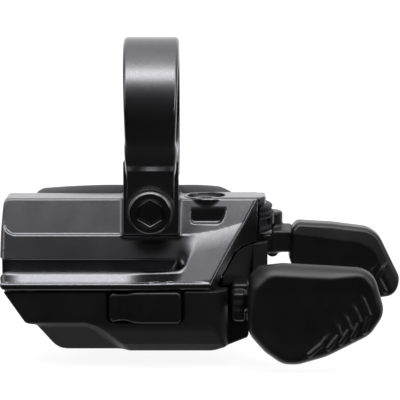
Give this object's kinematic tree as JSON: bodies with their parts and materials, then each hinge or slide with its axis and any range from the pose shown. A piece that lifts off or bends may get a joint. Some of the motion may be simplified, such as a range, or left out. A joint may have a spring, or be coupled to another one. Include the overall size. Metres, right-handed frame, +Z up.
{
  "type": "thumb shifter",
  "caption": "Wireless thumb shifter with a band clamp, a folded metal top, a plastic body, stacked thumb paddles and a function button.",
  "frame": {"origin": "centre of the handlebar clamp's bore, midway between the ring's two faces", "axes": "+X along the handlebar towards the thumb paddles, +Y forward and away from the rider, +Z up"},
  "size_m": [0.0682, 0.0299, 0.0535],
  "materials": {
    "painted_alloy": "dark grey metallic satin paint",
    "black_plastic": "fine matt moulded texture",
    "grey_plastic": "matt slate grey",
    "lever_plastic": "satin black",
    "black_steel": "black oxide",
    "bright_steel": "plain steel",
    "rubber": "matt",
    "circuit_green": "solder mask over fibreglass",
    "bronze": "sintered bronze"
  },
  "bodies": {
    "body": {"clamp_bracket": "painted_alloy", "bolt_washer": "bright_steel", "body_screw": "bright_steel", "lower_housing": "black_plastic", "rear_cover": "grey_plastic", "side_block": "black_plastic", "lever_deck": "grey_plastic", "housing_screw_1": "bright_steel", "housing_screw_2": "bright_steel", "housing_screw_3": "bright_steel", "housing_screw_4": "bright_steel", "pivot_pin": "bright_steel", "upper_spring": "bright_steel", "lower_spring": "bright_steel", "button_switch": "black_steel", "circuit_board": "circuit_green", "radio_module": "bright_steel", "switch_board": "circuit_green", "upper_switch": "black_steel", "lower_switch": "black_steel", "battery_tray": "black_plastic", "battery_contact": "bright_steel", "coin_cell": "bright_steel", "cover_seal": "rubber"},
    "clamp_bolt": {"clamp_bolt": "black_steel"},
    "upper_lever": {"upper_lever_arm": "lever_plastic", "upper_paddle": "lever_plastic", "upper_paddle_screw": "bright_steel", "upper_bush": "bronze"},
    "lower_lever": {"lower_lever_arm": "lever_plastic", "lower_paddle": "lever_plastic", "lower_paddle_screw": "bright_steel", "lower_bush": "bronze"},
    "button": {"function_button": "lever_plastic", "button_spring": "bright_steel"},
    "battery_cover": {"battery_cover": "black_plastic"}
  },
  "joints": [
    {"name": "upper_lever_push", "type": "hinge", "parent": "body", "child": "upper_lever", "pos_m": [0.0149, 0.0022, -0.0222], "axis": [0, 0, 1], "range_deg": [0, 8], "stiffness_Nm_per_rad": 0.25, "springref_deg": -17.19},
    {"name": "lower_lever_push", "type": "hinge", "parent": "body", "child": "lower_lever", "pos_m": [0.0149, 0.0022, -0.03], "axis": [0, 0, 1], "range_deg": [0, 9], "stiffness_Nm_per_rad": 0.25, "springref_deg": -17.19},
    {"name": "button_press", "type": "slide", "parent": "body", "child": "button", "axis": [0, 1, 0], "range_m": [0, 0.0008], "stiffness_N_per_m": 1500, "springref_m": -0.001},
    {"name": "clamp_bolt_turn", "type": "hinge", "parent": "body", "child": "clamp_bolt", "pos_m": [0, -0.012, -0.0145], "axis": [0, -1, 0], "continuous": true},
    {"name": "battery_cover_turn", "type": "hinge", "parent": "body", "child": "battery_cover", "pos_m": [-0.0065, 0.0085, -0.0262], "axis": [0, 1, 0], "range_deg": [0, 60]}
  ]
}
